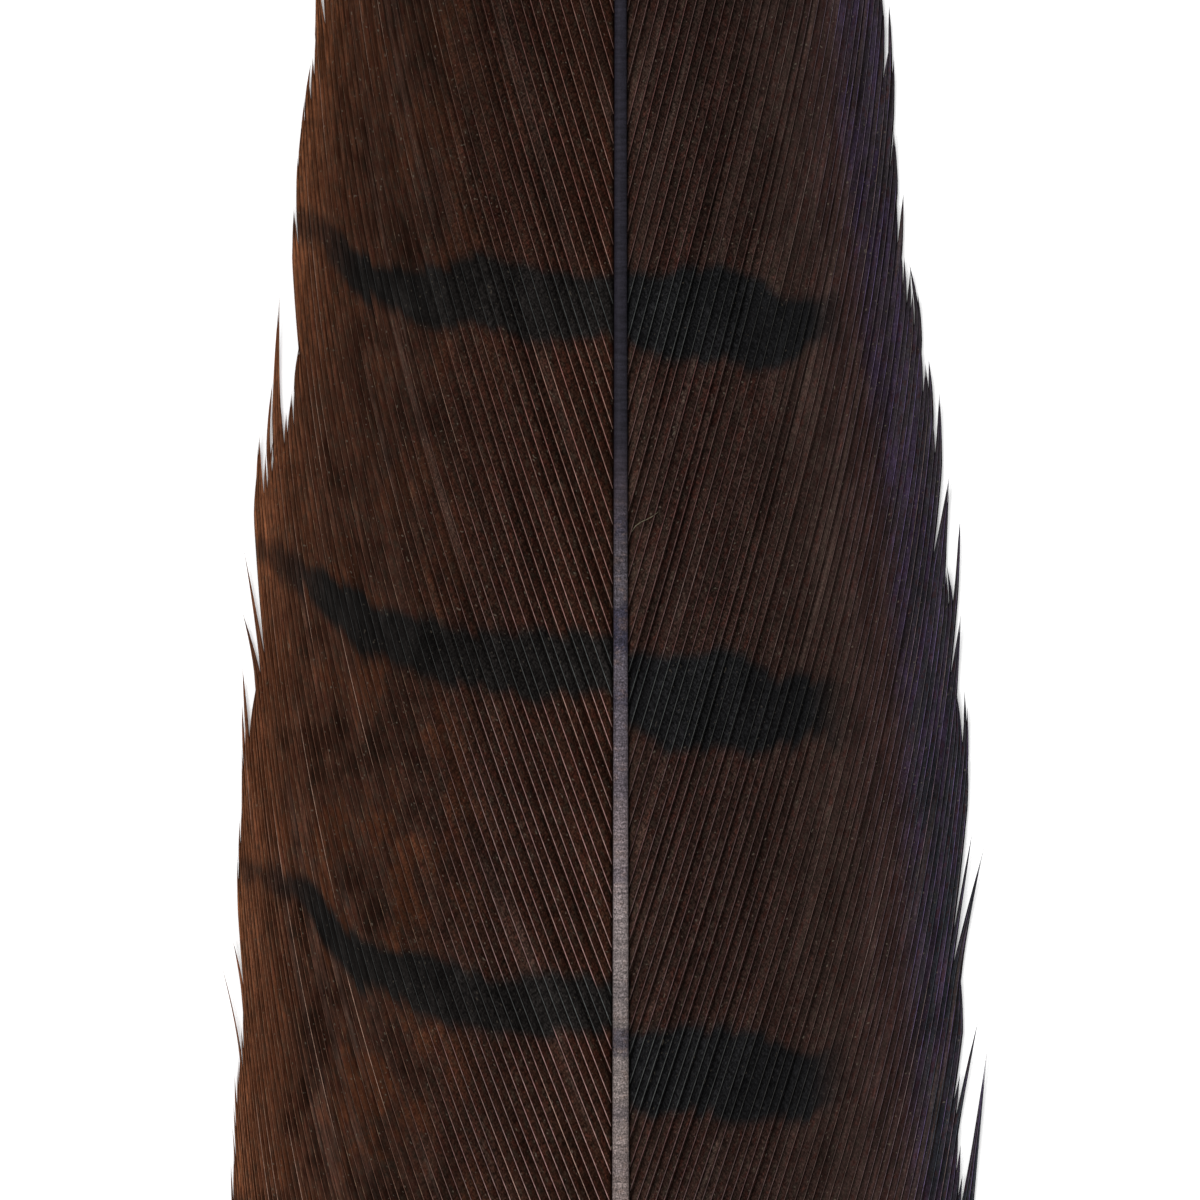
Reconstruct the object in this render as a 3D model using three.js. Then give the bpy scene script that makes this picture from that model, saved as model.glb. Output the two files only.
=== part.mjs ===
// A pheasant's tail feather, shed whole and lying on a flat surface with its upper side up.
//
// Frame, in millimetres: +Y points along the shaft to the feather's tip, +X to its right vane and
// +Z up. The origin is the middle of the feather's box, on the surface that it lies on.
//
// A place on the feather is given by its distance from the tip, measured along the shaft, and by
// its distance sideways from the shaft's middle. The shaft is arched a little and stands highest
// near its middle. Both vanes droop from it, and their outermost strips lie flat on the surface.

import * as THREE from "three";

// Driving dimensions.
const FEATHER_LENGTH = 290;
const VANE_END = 255; // the last stiff barb leaves the shaft here, and below it there is only down
const SHAFT_TIP = 1; // the barbs close over the shaft's end this far from the feather's tip
const SHAFT_X = 0.5; // the left vane is the wider one, so the shaft is right of the box's middle
const TIP_Y = 145.23;
const BEND_START = 130; // from here to the quill's end the shaft bends gently to the left
const BEND = 2.6; // how far the quill's end is from the line of the straight part
const JOINT_GAP = 0.06; // between the shaft's side and the roots of the barbs

// What changes along the feather, as pairs of distance from the tip and value.
const SHAFT_WIDTH = profile([
  [0, 0.3], [60, 0.51], [84, 0.59], [113, 0.72], [180, 1.2], [240, 1.8], [268, 2.5], [284, 2.5],
  [290, 1.3],
]);
const SHAFT_HEIGHT = profile([
  [0, 0.35], [30, 1.5], [70, 2.9], [120, 3.8], [180, 3.8], [235, 3], [270, 1.72], [284, 1.27],
  [290, 0.66],
]);
const LEFT_HALF_WIDTH = profile([
  [0, 0], [5, 3], [20, 7], [40, 10.3], [63, 13.1], [92, 15.8], [120, 16.6], [160, 16.6],
  [205, 14.6], [240, 10.6], [256, 7.5],
]);
const RIGHT_HALF_WIDTH = profile([
  [0, 0], [5, 2.7], [20, 6.2], [40, 9], [63, 11.3], [92, 14.2], [120, 15.6], [160, 15.6],
  [205, 13.8], [240, 10], [256, 7],
]);
const BARB_ANGLE = profile([[0, 9], [63, 15], [113, 20], [180, 27], [255, 38]]); // degrees, at the shaft
const BARB_STRAIGHTENING = 0.55; // the share of its angle that a barb loses between root and margin

// The vanes' sheet.
const VANE_THICKNESS = 0.5;
const FLAT_FROM = 0.86; // share of the half width beyond which a vane lies flat
const ROOT_ABOVE_MIDDLE = 0.1; // the barbs leave the shaft this share of its width above its middle
const BARB_STEP = 1; // length of the straight steps that a barb's line is worked out in

// The down below the vanes.
const DOWN_LENGTH = 16;
const DOWN_WIDTH = 8.5;
const DOWN_THICKNESS = 3;
const DOWN_OFFSET = 7.8; // of its middle from the shaft's middle
const DOWN_FROM_TIP = 255;

// How finely the solids are divided.
const SHAFT_SIDES = 12;
const SHAFT_STATIONS = 56;
const VANE_STATIONS = 60;
const VANE_COLUMNS = 7;
const STATION_SPREAD = 0.3; // the smaller it is, the closer a vane's stations stand near its two ends
const DOWN_SIDES = 16;
const DOWN_RINGS = 10;

// What the pieces are made of. All of it is keratin, and none of it is metal.
const SHAFT_KERATIN = { color: 0x6d6462, roughness: 0.4, metalness: 0 };
const LEFT_BARBS = { color: 0x43291c, roughness: 0.7, metalness: 0 };
const RIGHT_BARBS = { color: 0x30221f, roughness: 0.65, metalness: 0 };
const DOWNY_BARBS = { color: 0x6a6059, roughness: 0.95, metalness: 0 };

const LEFT = -1;
const RIGHT = 1;

// A smooth curve through pairs of place and value, level with its neighbours at every pair.
function profile(pairs) {
  const slopes = pairs.map((pair, i) => {
    const before = pairs[Math.max(i - 1, 0)];
    const after = pairs[Math.min(i + 1, pairs.length - 1)];
    return (after[1] - before[1]) / (after[0] - before[0]);
  });
  return (place) => {
    const last = pairs.length - 2;
    const i = Math.min(pairs.filter((pair) => pair[0] <= place).length - 1, last);
    const from = Math.max(i, 0);
    const [start, low] = pairs[from];
    const [end, high] = pairs[from + 1];
    const span = end - start;
    const t = THREE.MathUtils.clamp((place - start) / span, 0, 1);
    const rise = (3 - 2 * t) * t * t;
    const startPull = t * (1 - t) * (1 - t) * span * slopes[from];
    const endPull = t * t * (t - 1) * span * slopes[from + 1];
    return low + (high - low) * rise + startPull + endPull;
  };
}

// Sideways place of the shaft's middle.
function shaftX(fromTip) {
  const bent = Math.max(fromTip - BEND_START, 0) / (FEATHER_LENGTH - BEND_START);
  return SHAFT_X - BEND * bent * bent;
}

function alongY(fromTip) {
  return TIP_Y - fromTip;
}

function halfWidth(side, fromTip) {
  return side === LEFT ? LEFT_HALF_WIDTH(fromTip) : RIGHT_HALF_WIDTH(fromTip);
}

function rootOffset(fromTip) {
  return SHAFT_WIDTH(fromTip) / 2 + JOINT_GAP;
}

// Height of a vane's lower face: it droops from the shaft and then lies on the surface.
function vaneBottom(side, offset, fromTip) {
  const root = SHAFT_HEIGHT(fromTip) + ROOT_ABOVE_MIDDLE * SHAFT_WIDTH(fromTip) - VANE_THICKNESS / 2;
  const reach = Math.min(offset / (FLAT_FROM * Math.max(halfWidth(side, fromTip), BARB_STEP)), 1);
  return Math.max(root, 0) * (0.5 + 0.5 * Math.cos(Math.PI * reach));
}

// The line of one barb from the shaft to the margin, as pairs of offset and distance from the tip.
function barbLine(side, root) {
  const line = [[rootOffset(root), root]];
  for (;;) {
    const [offset, fromTip] = line[line.length - 1];
    const outward = Math.min(offset / Math.max(halfWidth(side, fromTip), BARB_STEP), 1);
    const degrees = BARB_ANGLE(fromTip) * (1 - BARB_STRAIGHTENING * outward * outward);
    const angle = THREE.MathUtils.degToRad(degrees);
    const next = [offset + BARB_STEP * Math.sin(angle), fromTip - BARB_STEP * Math.cos(angle)];
    const room = halfWidth(side, fromTip) - offset;
    const roomNext = halfWidth(side, Math.max(next[1], 0)) - next[0];
    if (roomNext <= 0) {
      const share = THREE.MathUtils.clamp(room / (room - roomNext), 0, 1);
      line.push([
        THREE.MathUtils.lerp(offset, next[0], share),
        THREE.MathUtils.lerp(fromTip, next[1], share),
      ]);
      return line;
    }
    line.push(next);
  }
}

// The place at a share of a line's length.
function alongLine(line, share) {
  const place = share * (line.length - 1);
  const i = Math.min(Math.floor(place), line.length - 2);
  const within = place - i;
  return [0, 1].map((axis) => THREE.MathUtils.lerp(line[i][axis], line[i + 1][axis], within));
}

// Moves each corner of a closed three.js geometry to the place that it stands for.
function bend(geometry, place) {
  const corners = geometry.attributes.position;
  const corner = new THREE.Vector3();
  for (let i = 0; i < corners.count; i += 1) {
    corner.fromBufferAttribute(corners, i);
    corners.setXYZ(i, ...place(corner));
  }
  geometry.deleteAttribute("uv");
  geometry.computeVertexNormals();
  return geometry;
}

function subPart(name, geometry, finish) {
  const mesh = new THREE.Mesh(geometry, new THREE.MeshStandardMaterial(finish));
  mesh.name = name;
  return mesh;
}

// Quill and rachis are one tapering rod. A cylinder's axis is its own Y, so it already lies along
// the feather, with its top at the feather's tip.
function shaftGeometry() {
  const rod = new THREE.CylinderGeometry(1, 1, 1, SHAFT_SIDES, SHAFT_STATIONS);
  return bend(rod, (corner) => {
    const fromTip = THREE.MathUtils.lerp(FEATHER_LENGTH, SHAFT_TIP, corner.y + 0.5);
    const radius = SHAFT_WIDTH(fromTip) / 2;
    return [
      shaftX(fromTip) + radius * corner.x,
      alongY(fromTip),
      SHAFT_HEIGHT(fromTip) + radius * corner.z,
    ];
  });
}

// The barb root at a vane's station, which goes from 0 at the last barb to 1 at the tip's first.
function stationRoot(station) {
  const first = THREE.MathUtils.smoothstep(0, -STATION_SPREAD, 1 + STATION_SPREAD);
  const crowded = THREE.MathUtils.smoothstep(station, -STATION_SPREAD, 1 + STATION_SPREAD);
  const share = (crowded - first) / (1 - 2 * first);
  return THREE.MathUtils.lerp(VANE_END, SHAFT_TIP, share);
}

// One vane is a thin block. Its X runs along the barbs, and its Y through the stations.
function vaneGeometry(side) {
  const block = new THREE.BoxGeometry(1, 1, 1, VANE_COLUMNS, VANE_STATIONS, 1);
  const lines = new Map();
  return bend(block, (corner) => {
    if (!lines.has(corner.y)) {
      lines.set(corner.y, barbLine(side, stationRoot(corner.y + 0.5)));
    }
    const [offset, fromTip] = alongLine(lines.get(corner.y), 0.5 + side * corner.x);
    const bottom = vaneBottom(side, offset, fromTip);
    return [
      shaftX(fromTip) + side * offset,
      alongY(fromTip),
      bottom + VANE_THICKNESS * (corner.z + 0.5),
    ];
  });
}

// The downy barbs of one side, as a flattened ball that leans out the way they do.
function downGeometry(side) {
  const lean = THREE.MathUtils.degToRad(BARB_ANGLE(VANE_END));
  const ball = new THREE.SphereGeometry(0.5, DOWN_SIDES, DOWN_RINGS);
  return bend(ball, (corner) => {
    const outward = side * corner.x * DOWN_LENGTH;
    const tipward = corner.y * DOWN_WIDTH;
    const offset = DOWN_OFFSET + outward * Math.sin(lean) - tipward * Math.cos(lean);
    const fromTip = DOWN_FROM_TIP - outward * Math.cos(lean) - tipward * Math.sin(lean);
    return [
      shaftX(DOWN_FROM_TIP) + side * offset,
      alongY(fromTip),
      DOWN_THICKNESS * (corner.z + 0.5),
    ];
  });
}

const feather = new THREE.Group();
feather.add(subPart("shaft", shaftGeometry(), SHAFT_KERATIN));
feather.add(subPart("left_vane", vaneGeometry(LEFT), LEFT_BARBS));
feather.add(subPart("right_vane", vaneGeometry(RIGHT), RIGHT_BARBS));
feather.add(subPart("left_down", downGeometry(LEFT), DOWNY_BARBS));
feather.add(subPart("right_down", downGeometry(RIGHT), DOWNY_BARBS));

export default feather;
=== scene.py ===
import math

import bpy
import numpy as np
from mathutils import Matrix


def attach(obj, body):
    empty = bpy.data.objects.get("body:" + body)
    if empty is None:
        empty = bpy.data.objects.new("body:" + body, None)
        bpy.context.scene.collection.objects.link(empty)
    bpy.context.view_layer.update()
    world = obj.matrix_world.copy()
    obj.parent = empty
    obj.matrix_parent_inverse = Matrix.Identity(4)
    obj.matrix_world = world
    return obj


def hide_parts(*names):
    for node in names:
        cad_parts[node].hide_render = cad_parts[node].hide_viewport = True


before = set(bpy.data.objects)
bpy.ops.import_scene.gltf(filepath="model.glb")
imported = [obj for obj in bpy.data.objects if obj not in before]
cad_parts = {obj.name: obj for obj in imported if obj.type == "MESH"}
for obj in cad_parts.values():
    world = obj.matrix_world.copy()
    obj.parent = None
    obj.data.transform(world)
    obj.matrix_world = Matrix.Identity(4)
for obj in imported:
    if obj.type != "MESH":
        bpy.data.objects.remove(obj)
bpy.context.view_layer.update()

# A pheasant's tail feather, built barb by barb. Feather sizes are in millimetres. A place on the
# feather is its distance from the tip and its offset sideways from the shaft's middle. Blender's
# metres come in only where its objects and materials are made.

MM = 0.001
rng = np.random.default_rng(7)

LEFT, RIGHT = -1, 1
SIDE_NAME = {LEFT: "left", RIGHT: "right"}


# ---- the feather's form

def profile(*pairs):
    """A smooth curve through pairs of place and value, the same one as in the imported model."""
    places, values = np.array(pairs, float).T
    last = len(places) - 1
    before = np.maximum(np.arange(last + 1) - 1, 0)
    after = np.minimum(np.arange(last + 1) + 1, last)
    slopes = (values[after] - values[before]) / (places[after] - places[before])

    def at(place):
        place = np.clip(place, places[0], places[-1])
        i = np.clip(np.searchsorted(places, place, side="right") - 1, 0, last - 1)
        span = places[i + 1] - places[i]
        t = (place - places[i]) / span
        rise = (3 - 2 * t) * t * t
        pull = t * (1 - t) * (1 - t) * span * slopes[i] + t * t * (t - 1) * span * slopes[i + 1]
        return values[i] + (values[i + 1] - values[i]) * rise + pull

    return at


FEATHER_LENGTH = 290
VANE_END = 255
TIP_Y = 145.23
SHAFT_X = 0.5
SHAFT_TIP = 1
BEND_START = 130
BEND = 2.6
VANE_THICKNESS = 0.5
FLAT_FROM = 0.86
ROOT_ABOVE_MIDDLE = 0.1

shaft_width = profile((0, 0.3), (60, 0.51), (84, 0.59), (113, 0.72), (180, 1.2), (240, 1.8), (268, 2.5),
                      (284, 2.5), (290, 1.3))
shaft_height = profile((0, 0.35), (30, 1.5), (70, 2.9), (120, 3.8), (180, 3.8), (235, 3), (270, 1.72),
                       (284, 1.27), (290, 0.66))
vane_half_width = {
    LEFT: profile((0, 0), (5, 3), (20, 7), (40, 10.3), (63, 12.75), (70, 13.6), (75, 13.95), (84, 15.3),
                  (92, 15.85), (105, 16.25), (120, 16.4), (160, 16.4), (205, 14.6), (240, 10.6),
                  (256, 7.5)),
    RIGHT: profile((0, 0), (5, 2.7), (20, 6.2), (40, 9), (63, 11.1), (70, 11.65), (75, 12.35), (84, 13.7),
                   (93, 14.55), (105, 14.95), (120, 15.4), (160, 15.4), (205, 13.8), (240, 10), (256, 7)),
}

# A barb leaves the shaft at this many degrees and straightens further out.
root_angle = {
    LEFT: profile((0, 10), (63, 16.2), (80, 18.2), (97, 20), (113, 22), (180, 28), (255, 38)),
    RIGHT: profile((0, 9), (63, 14), (80, 15.4), (97, 17.2), (113, 18.8), (180, 26), (255, 38)),
}
STRAIGHT_FROM = 0.1  # share of the half width where barbs begin to straighten
STRAIGHTENING = {LEFT: 0.81, RIGHT: 0.7}  # share of its angle that a barb has lost at the margin
STRAIGHTENING_POWER = {LEFT: 2.5, RIGHT: 3.3}

# The step along the shaft from one barb to the next.
barb_pitch = {
    LEFT: profile((0, 1.55), (68, 1.38), (83, 1.27), (98, 1.15), (110, 1.06), (140, 0.95), (255, 0.86)),
    RIGHT: profile((0, 1.75), (68, 1.56), (83, 1.4), (98, 1.256), (110, 1.147), (140, 1.03), (255, 0.92)),
}


def shaft_x(from_tip):
    bent = np.maximum(from_tip - BEND_START, 0) / (FEATHER_LENGTH - BEND_START)
    return SHAFT_X - BEND * bent * bent


def vane_height(side, offset, from_tip):
    """Height of the middle of a vane's thickness: it droops from the shaft and then lies flat."""
    root = shaft_height(from_tip) + ROOT_ABOVE_MIDDLE * shaft_width(from_tip) - VANE_THICKNESS / 2
    reach = np.minimum(offset / (FLAT_FROM * np.maximum(vane_half_width[side](from_tip), 1)), 1)
    return np.maximum(root, 0) * (0.5 + 0.5 * np.cos(np.pi * reach)) + VANE_THICKNESS / 2


def barb_slope(side, offset, from_tip):
    """How far a barb moves outward for each millimetre towards the tip."""
    outward = np.minimum(offset / np.maximum(vane_half_width[side](from_tip), 1), 1)
    late = np.maximum(outward - STRAIGHT_FROM, 0) / (1 - STRAIGHT_FROM)
    kept = 1 - STRAIGHTENING[side] * late ** STRAIGHTENING_POWER[side]
    return np.tan(np.radians(root_angle[side](from_tip) * kept))


# ---- the black bars

# What a bar looks like on either side: offset from the shaft's middle, the bar's middle against
# where it meets the shaft, and its half thickness.
BAR_SHAPE = {
    LEFT: ((0, 0, 1.12), (3.8, 0, 1.3), (7.1, -0.5, 1.36), (10.3, -1.2, 1.05), (11.5, -2.1, 0.9),
           (12.8, -3.4, 0.78), (14.1, -4.3, 0.5), (16, -5.2, 0.5)),
    RIGHT: ((0, 0, 1.4), (3.4, 0.3, 1.85), (5, 0.6, 1.95), (6.5, 0.8, 1.75), (7.6, 0.75, 1.4),
            (8.3, 0.7, 1.15), (9.4, 0.6, 0.9)),
}
# Where the bars with that shape meet the shaft.
PLAIN_BARS = {
    LEFT: (33, 47.2, 60.8, 119, 132.5, 146, 159, 172, 185, 198, 211, 224),
    RIGHT: (30, 44.6, 59.2, 123, 138, 152.5, 167, 181, 195, 209, 223),
}
# Three bars on each side have their own shapes: offset, the middle's distance from the tip, and
# half thickness.
OWN_BARS = {
    LEFT: (
        ((0, 75.7, 1.25), (2.5, 76, 1.5), (4.2, 75.6, 1.35), (5.9, 75.3, 1.5), (7.6, 75.4, 1.35),
         (8.9, 75.25, 1.2), (10.3, 74.8, 0.92), (11.6, 73.9, 0.85), (12.8, 72.6, 0.68),
         (13.8, 72.2, 0.45)),
        ((0, 90.9, 1.12), (4.2, 90.9, 1.33), (7.6, 90.4, 1.3), (8.9, 90, 1.27), (10.2, 89.5, 1.2),
         (11.6, 88.6, 1.08), (12.8, 87.75, 0.8), (14.1, 86.8, 0.58), (15.2, 86, 0.5)),
        ((0, 105.2, 0.98), (4.2, 105.25, 1.27), (5.9, 105.1, 1.3), (7.6, 104.5, 1.42), (8.9, 104.2, 1.3),
         (10.1, 103.85, 1), (11.4, 103.3, 0.8), (12.2, 102.3, 0.9), (12.9, 101.1, 0.8),
         (14.1, 100.3, 0.45), (15.8, 99.5, 0.55)),
    ),
    RIGHT: (
        ((0, 75.7, 1.5), (1.2, 76.2, 1.8), (2.9, 76, 1.95), (4.2, 76.1, 2.12), (5.4, 76.5, 1.85),
         (6.3, 76.8, 1.75), (7.1, 76.9, 1.45), (7.9, 76.5, 1.05), (8.5, 76.3, 1), (9.1, 76.3, 1),
         (10.2, 76.4, 0.9)),
        ((0, 91.8, 1.5), (1.2, 92.2, 1.85), (2.9, 92.5, 1.95), (4.6, 92.5, 2.02), (6.3, 93, 1.7),
         (7.1, 92.9, 1.65), (7.9, 92.6, 1.3), (8.5, 92.6, 1.2), (9.1, 92.9, 1.3), (10.5, 93.2, 1.2)),
        ((0, 107.9, 1.25), (1.2, 108.1, 1.65), (2.9, 108, 1.76), (5.4, 108.2, 2.05), (6.3, 108.4, 1.86),
         (7.1, 108.5, 1.45), (7.8, 108.7, 1.3), (8.5, 108.5, 1.15), (9.1, 108.2, 1.1),
         (10.3, 108.1, 0.9)),
    ),
}
BAR_LOOK = 4.0  # a place further than this from a bar's middle has no bar near it


def bar(shape, place=0.0):
    """A bar's middle, as a distance from the tip, and its half thickness, both by offset."""
    offsets, middles, halves = np.array(shape).T
    return profile(*zip(offsets, middles + place)), profile(*zip(offsets, halves))


def side_bars(side):
    plain = [bar(BAR_SHAPE[side], place) for place in PLAIN_BARS[side]]
    return plain + [bar(shape) for shape in OWN_BARS[side]]


BARS = {side: side_bars(side) for side in (LEFT, RIGHT)}


def nearest_bar(side, offset, from_tip):
    """How far past the nearest bar's middle a place is, and half that bar's thickness."""
    asides = np.array([from_tip - middle(offset) for middle, half in BARS[side]])
    halves = np.array([half(offset) for middle, half in BARS[side]])
    nearest = np.abs(asides).argmin(0)[None]
    aside, half = (np.take_along_axis(numbers, nearest, 0)[0] for numbers in (asides, halves))
    return aside, np.where(np.abs(aside) < BAR_LOOK, half, -BAR_LOOK)


# Waves in the bars' edges: height, turn from barb to barb, turn along the feather, and start.
BAR_WAVES = ((0.08, 0.71, 0.31, 0), (0.06, 1.37, -0.23, 2), (0.09, 0.29, 0.67, 4))


def bar_wander(number, from_tip):
    """How far a bar's edge strays from barb to barb, alike on neighbouring barbs."""
    return sum(high * np.sin(by_barb * number + by_place * from_tip + start)
               for high, by_barb, by_place, start in BAR_WAVES)


# ---- barbs

ROW_STEP = 0.25  # between the rows in which barb lines are worked out
LONG_ROWS, TIP_ROWS = 6, 2  # one row in so many gets corners of its own, along a barb and in its tip
TIP_STRETCH = 5
OVERRUN = 6  # how far barb lines are followed past the margin
FOOT_DEPTH = 0.05  # how far into the shaft a barb starts


def barb_lines(side):
    """Roots and rows of the vane's lines, and their offsets by row and line.

    Odd lines are the middles of barbs, and even ones run half way between them.
    """
    roots = [SHAFT_TIP]
    while roots[-1] < VANE_END + OVERRUN:
        roots.append(roots[-1] + barb_pitch[side](roots[-1]) / 2)
    roots = np.array(roots)
    rows = np.arange(roots[-1], -OVERRUN, -ROW_STEP)
    offsets = np.zeros((len(rows), len(roots)))
    place = np.zeros(len(roots))
    for row, from_tip in enumerate(rows):
        foot = shaft_width(from_tip) / 2 - FOOT_DEPTH
        moved = place + ROW_STEP * barb_slope(side, place, from_tip)
        place = np.where(roots < from_tip, foot, moved)
        offsets[row] = place
    return roots, rows, offsets


# Dents in the margin: the middle's distance from the tip, half the length, and the depth.
DENTS = {
    LEFT: ((78.5, 2.9, 0.75), (89.4, 2.9, 0.7), (105.8, 2.2, 0.3), (30, 3, 0.5), (128, 4, 0.6),
           (171, 3, 0.5), (203, 4, 0.9)),
    RIGHT: ((72.5, 1.6, 0.25), (86, 1.6, 0.3), (91, 1.5, 0.4), (102.4, 2.6, 0.6), (110.6, 4, 0.85),
            (44, 3, 0.4), (131, 3, 0.5), (156, 4, 0.7), (190, 3, 0.6), (222, 4, 0.8)),
}


def margin(side, from_tip):
    """How far out barbs reach."""
    reach = vane_half_width[side](from_tip)
    for middle, half, depth in DENTS[side]:
        reach = reach - depth * np.exp(-((from_tip - middle) / half) ** 4)
    return reach


# Blades of barbs that stand away from the margin: the tip's distance from the feather's tip, the
# tip's offset, the blade's length and its number of barbs.
BLADES = {
    LEFT: ((65.4, 13.02, 2.2, 1), (67, 13.3, 2.4, 1), (68.2, 13.45, 2.2, 1), (69.4, 13.6, 2.4, 1),
           (71.4, 13.78, 2.4, 2), (74.9, 14.33, 6.6, 3), (79, 14.66, 3, 1), (80.9, 15.23, 3.2, 3),
           (83, 15.35, 1.8, 1), (85.9, 15.9, 5.2, 2), (88.6, 15.98, 3, 2), (90.9, 15.94, 2.2, 1),
           (92.6, 15.96, 2.2, 1), (97.4, 16.04, 2, 1), (99.1, 16.16, 2.4, 1), (102.5, 16.36, 2.4, 1),
           (103.5, 16.85, 4, 1), (111.9, 16.42, 2.4, 1)),
    RIGHT: ((63, 11.31, 3.6, 1), (65.3, 11.52, 2.6, 1), (71, 11.92, 2.4, 1), (74, 12.17, 2.6, 1),
            (75.1, 12.5, 2.4, 1), (77.9, 12.97, 3, 1), (79.2, 13.43, 3.4, 2), (82.7, 13.9, 4, 3),
            (84.8, 14.32, 3.2, 1), (88.6, 14.36, 3.6, 2), (92, 14.5, 2.4, 1), (92.8, 14.62, 2.4, 1),
            (94.9, 14.64, 2, 1), (97.9, 14.84, 5.6, 1), (98.5, 15.37, 5.6, 2), (106, 15.07, 4.8, 1),
            (107, 15.49, 7.2, 3)),
}
KNOWN_FROM, KNOWN_TO = 62, 113  # the stretch that these blades cover


def all_blades(side):
    """The blades above, and more at random places along the rest of the margin, the lowest first."""
    blades = list(BLADES[side])
    for low, high in ((9, KNOWN_FROM), (KNOWN_TO + 4, VANE_END - 6)):
        tip = low + rng.uniform(0, 3)
        while tip < high:
            length = rng.uniform(1.8, 5.5)
            tip_offset = margin(side, tip) + rng.uniform(0.02, 0.1) * length
            blades.append((tip, tip_offset, length, int(rng.choice((1, 1, 2, 3)))))
            tip += rng.uniform(2.5, 8)
    return sorted(blades, key=lambda blade: -blade[0] - blade[2])


TOOTH_REACH = 0.08  # how far past the margin the tips of plain barbs come to lie
TOOTH_LAG = 0.7  # how far past its crossing with the margin a plain barb runs on along the margin


def plain_blades(side, rows, middles, edge, taken):
    """Blades of the other barbs, one by one or in twos. Their tips run on along the margin."""
    crossing = (middles >= edge[:, None]).argmax(0)
    first = 0
    while first < len(taken):
        size = int(rng.choice((1, 2), p=(0.7, 0.3)))
        members = [k for k in range(first, min(first + size, len(taken))) if not taken[k]]
        first += size
        if members and crossing[members[0]]:
            tip = rows[crossing[members[0]]] - TOOTH_LAG * rng.uniform(0.5, 1.3)
            length = rng.uniform(1.8, 2.8)
            yield tip, margin(side, tip) + rng.uniform(-0.3, 1) * TOOTH_REACH, length, members


GATHERING = 0.95  # how far the barbs of a blade close up towards its tip
LONE_GATHERING = 0.7  # how far a barb that stands alone folds up
TIP_REACH = 0.04  # how far a blade's last thread runs on past where its tip shows
SHORTEST_TAPER = 0.9
TAPER = 0.3  # the share of a blade's length in which its barbs narrow to nothing
BLADE_LIFT = 0.03  # how high a blade's tip may stand up, as a share of its length
INSIDE_BY = 0.03  # barbs this far past the margin still count as inside it


def gather(side, roots, rows, offsets):
    """Bends barbs into blades. Gives the barbs' middle lines and what happens along each of them."""
    edge = margin(side, rows)
    middles = offsets[:, 1:-1:2]
    count = middles.shape[1]
    taken = np.zeros(count, bool)
    blades = []
    for tip, tip_offset, length, size in all_blades(side):
        row = int((rows[0] - tip - length) / ROW_STEP)
        inside = (middles[row] <= edge[row] + INSIDE_BY) & (roots[1:-1:2] > tip + length)
        outermost = np.flatnonzero(inside & ~taken)[-size:]
        taken[outermost] = True
        blades.append((tip, tip_offset + TIP_REACH, length, list(outermost)))
    blades += plain_blades(side, rows, middles, edge, taken)
    bent = {
        "middle": middles.copy(), "squeeze": np.ones(middles.shape), "end": np.full(count, np.nan),
        "taper": np.ones(count), "rise": np.zeros(count), "freed_from": np.zeros(count),
    }
    for tip, tip_offset, length, members in blades:
        group = middles[:, members].mean(1)
        tip_row = min(int(round((rows[0] - tip) / ROW_STEP)), len(rows) - 1)
        freed = np.clip((tip + length - rows) / length, 0, 1)
        target = group + (tip_offset - group[tip_row]) * freed ** 1.5
        squeeze = 1 - (GATHERING if len(members) > 1 else LONE_GATHERING) * freed ** 0.85
        for rank, member in enumerate(members):
            own = target + (middles[:, member] - group) * squeeze
            bent["middle"][:, member] = np.where(freed > 0, own, middles[:, member])
            bent["end"][member] = tip + rank * rng.uniform(0.1, 0.35)
        bent["squeeze"][:, members] = squeeze[:, None]
        bent["taper"][members] = max(SHORTEST_TAPER, TAPER * length)
        bent["rise"][members] = rng.uniform(0, BLADE_LIFT) * length
        bent["freed_from"][members] = tip + length
    return bent


def vane(side):
    """The barbs of one vane, each with its row places, middle line and the widths of its web."""
    roots, rows, offsets = barb_lines(side)
    bent = gather(side, roots, rows, offsets)
    count = len(bent["end"])
    barbs = []
    for number in range(count):
        end_place = bent["end"][number]
        if np.isnan(end_place):
            continue
        middle = 2 * number + 1
        # The web starts where its outer edge leaves the shaft, and the ramus half a pitch later.
        start, own_root, inner_root = np.searchsorted(-rows, -roots[[middle + 1, middle, middle - 1]])
        end = min(int(round((rows[0] - end_place) / ROW_STEP)), len(rows) - 1)
        if end - own_root < 2 * LONG_ROWS:
            continue
        near_tip = max(inner_root, end - int(TIP_STRETCH / ROW_STEP))
        long_part = np.arange(inner_root, near_tip, LONG_ROWS)
        tip_part = np.arange(near_tip, end, TIP_ROWS)
        picked = np.unique(np.concatenate([[start, own_root], long_part, tip_part, [end]]))
        from_tip = rows[picked]
        to_end = from_tip - from_tip[-1]
        width = bent["squeeze"][picked, number] * np.clip(to_end / bent["taper"][number], 0, 1) ** 0.75
        freed_from = bent["freed_from"][number]
        freed = np.maximum(freed_from - from_tip, 0) / max(freed_from - end_place, 0.1)
        barbs.append({
            "number": number, "count": count, "from_tip": from_tip, "to_end": to_end,
            "centre": bent["middle"][picked, number], "own_root": np.searchsorted(picked, own_root),
            "outer": (offsets[picked, middle + 1] - offsets[picked, middle]) * width,
            "inner": (offsets[picked, middle] - offsets[picked, middle - 1]) * width,
            "root": roots[middle], "tone": rng.random(), "bar_shift": rng.normal(0, 0.08),
            "rise": bent["rise"][number] * freed ** 2, "bar_grow": rng.normal(0, 0.07),
        })
    return barbs


def add_object(name, data):
    made = bpy.data.objects.new(name, data)
    bpy.context.scene.collection.objects.link(made)
    return made


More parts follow.
